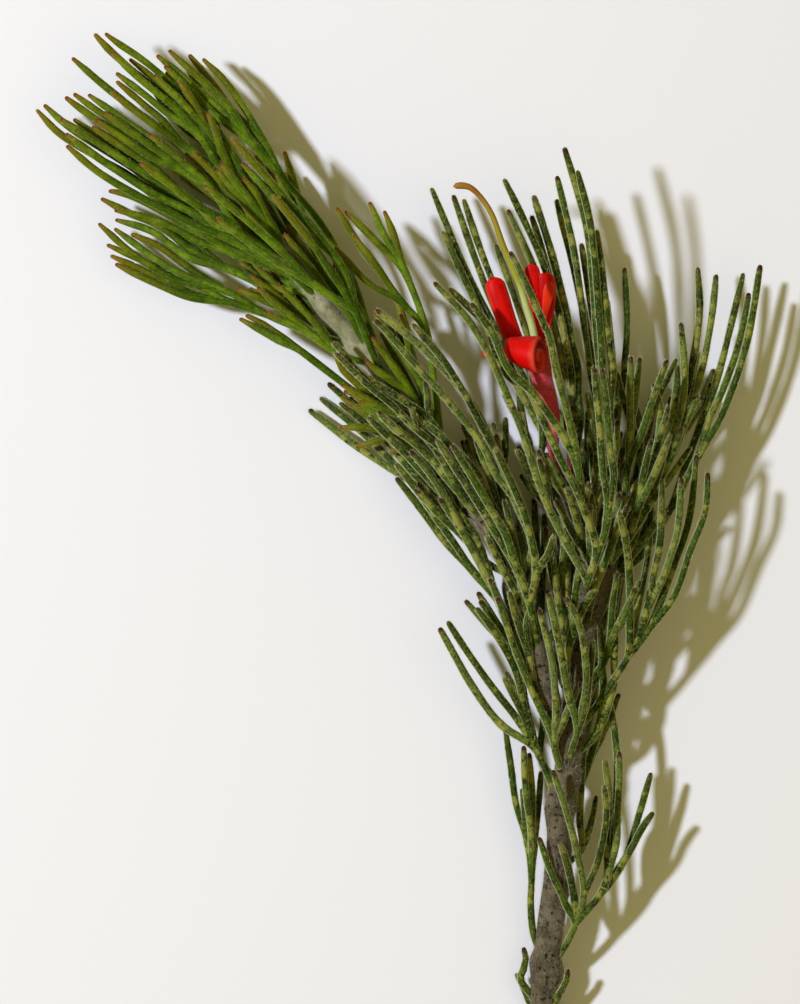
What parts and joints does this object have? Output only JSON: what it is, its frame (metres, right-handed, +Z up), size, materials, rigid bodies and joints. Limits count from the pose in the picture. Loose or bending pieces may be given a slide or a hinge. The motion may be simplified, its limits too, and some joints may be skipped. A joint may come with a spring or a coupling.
{
  "type": "woolly bush flower sprig",
  "caption": "Cut flowering sprig of woolly bush with a woody stem, fine divided leaves, a bright young shoot and a red tubular flower, lying on its side.",
  "frame": {"origin": "on the surface that the sprig lies on, below the middle of its bounding box", "axes": "+Y along the sprig from the cut end to the leaf tips, +Z up from the surface, +X to the right as seen from above"},
  "size_m": [0.0906, 0.1325, 0.0225],
  "materials": {
    "old_foliage": "woolly grey-green leaf lobes on a woolly brown stem",
    "young_foliage": "soft bright green leaf lobes with pale hairs",
    "petal": "satin scarlet petal",
    "style": "satin yellow-green to ochre",
    "bud": "matt dark red bract"
  },
  "bodies": {
    "root": {"old_leafy_stem": "old_foliage", "young_leafy_shoot": "young_foliage", "perianth": "petal", "style": "style", "flower_bud": "bud"}
  },
  "joints": []
}
